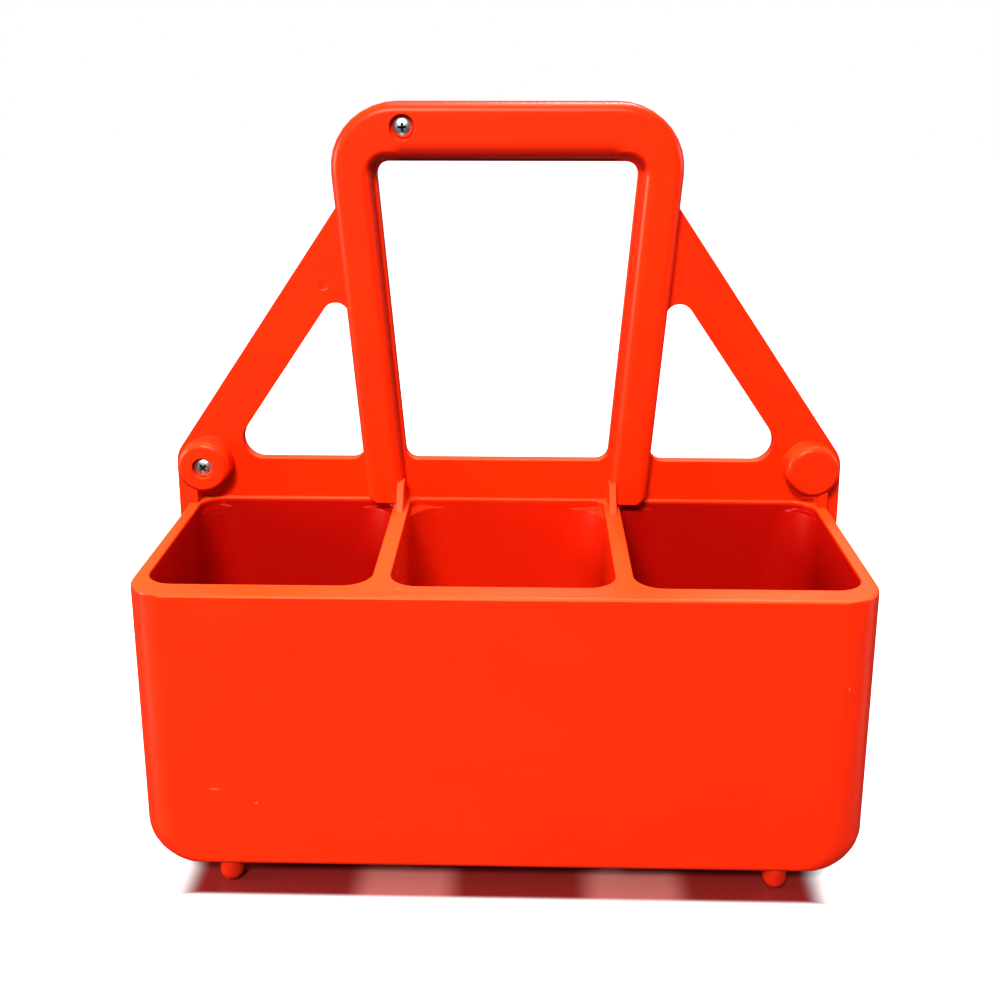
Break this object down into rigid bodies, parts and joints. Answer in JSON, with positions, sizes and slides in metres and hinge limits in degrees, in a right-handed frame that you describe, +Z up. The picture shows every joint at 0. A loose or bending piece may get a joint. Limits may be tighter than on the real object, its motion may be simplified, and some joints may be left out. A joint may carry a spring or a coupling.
{
  "type": "bottle carrier",
  "caption": "Moulded plastic bottle carrier: a tray of deep square pockets under a tall hollow grip handle on an A-shaped frame, held together by recessed screws.",
  "frame": {"origin": "middle of the bounding box on the surface that the foot pegs stand on", "axes": "+X to the right and +Z up as the picture shows it; +Y from the open pockets towards the handle frame"},
  "size_m": [0.346, 0.1375, 0.3491],
  "materials": {
    "tray_plastic": "satin moulded red-orange polyolefin",
    "frame_plastic": "satin moulded red-orange polyolefin",
    "screw_steel": "bright zinc plated steel"
  },
  "bodies": {
    "root": {"carrier_tray": "tray_plastic", "rear_frame": "frame_plastic", "handle_screw_front": "screw_steel", "handle_screw_rear": "screw_steel", "hub_screw_front": "screw_steel", "hub_screw_rear": "screw_steel"}
  },
  "joints": []
}
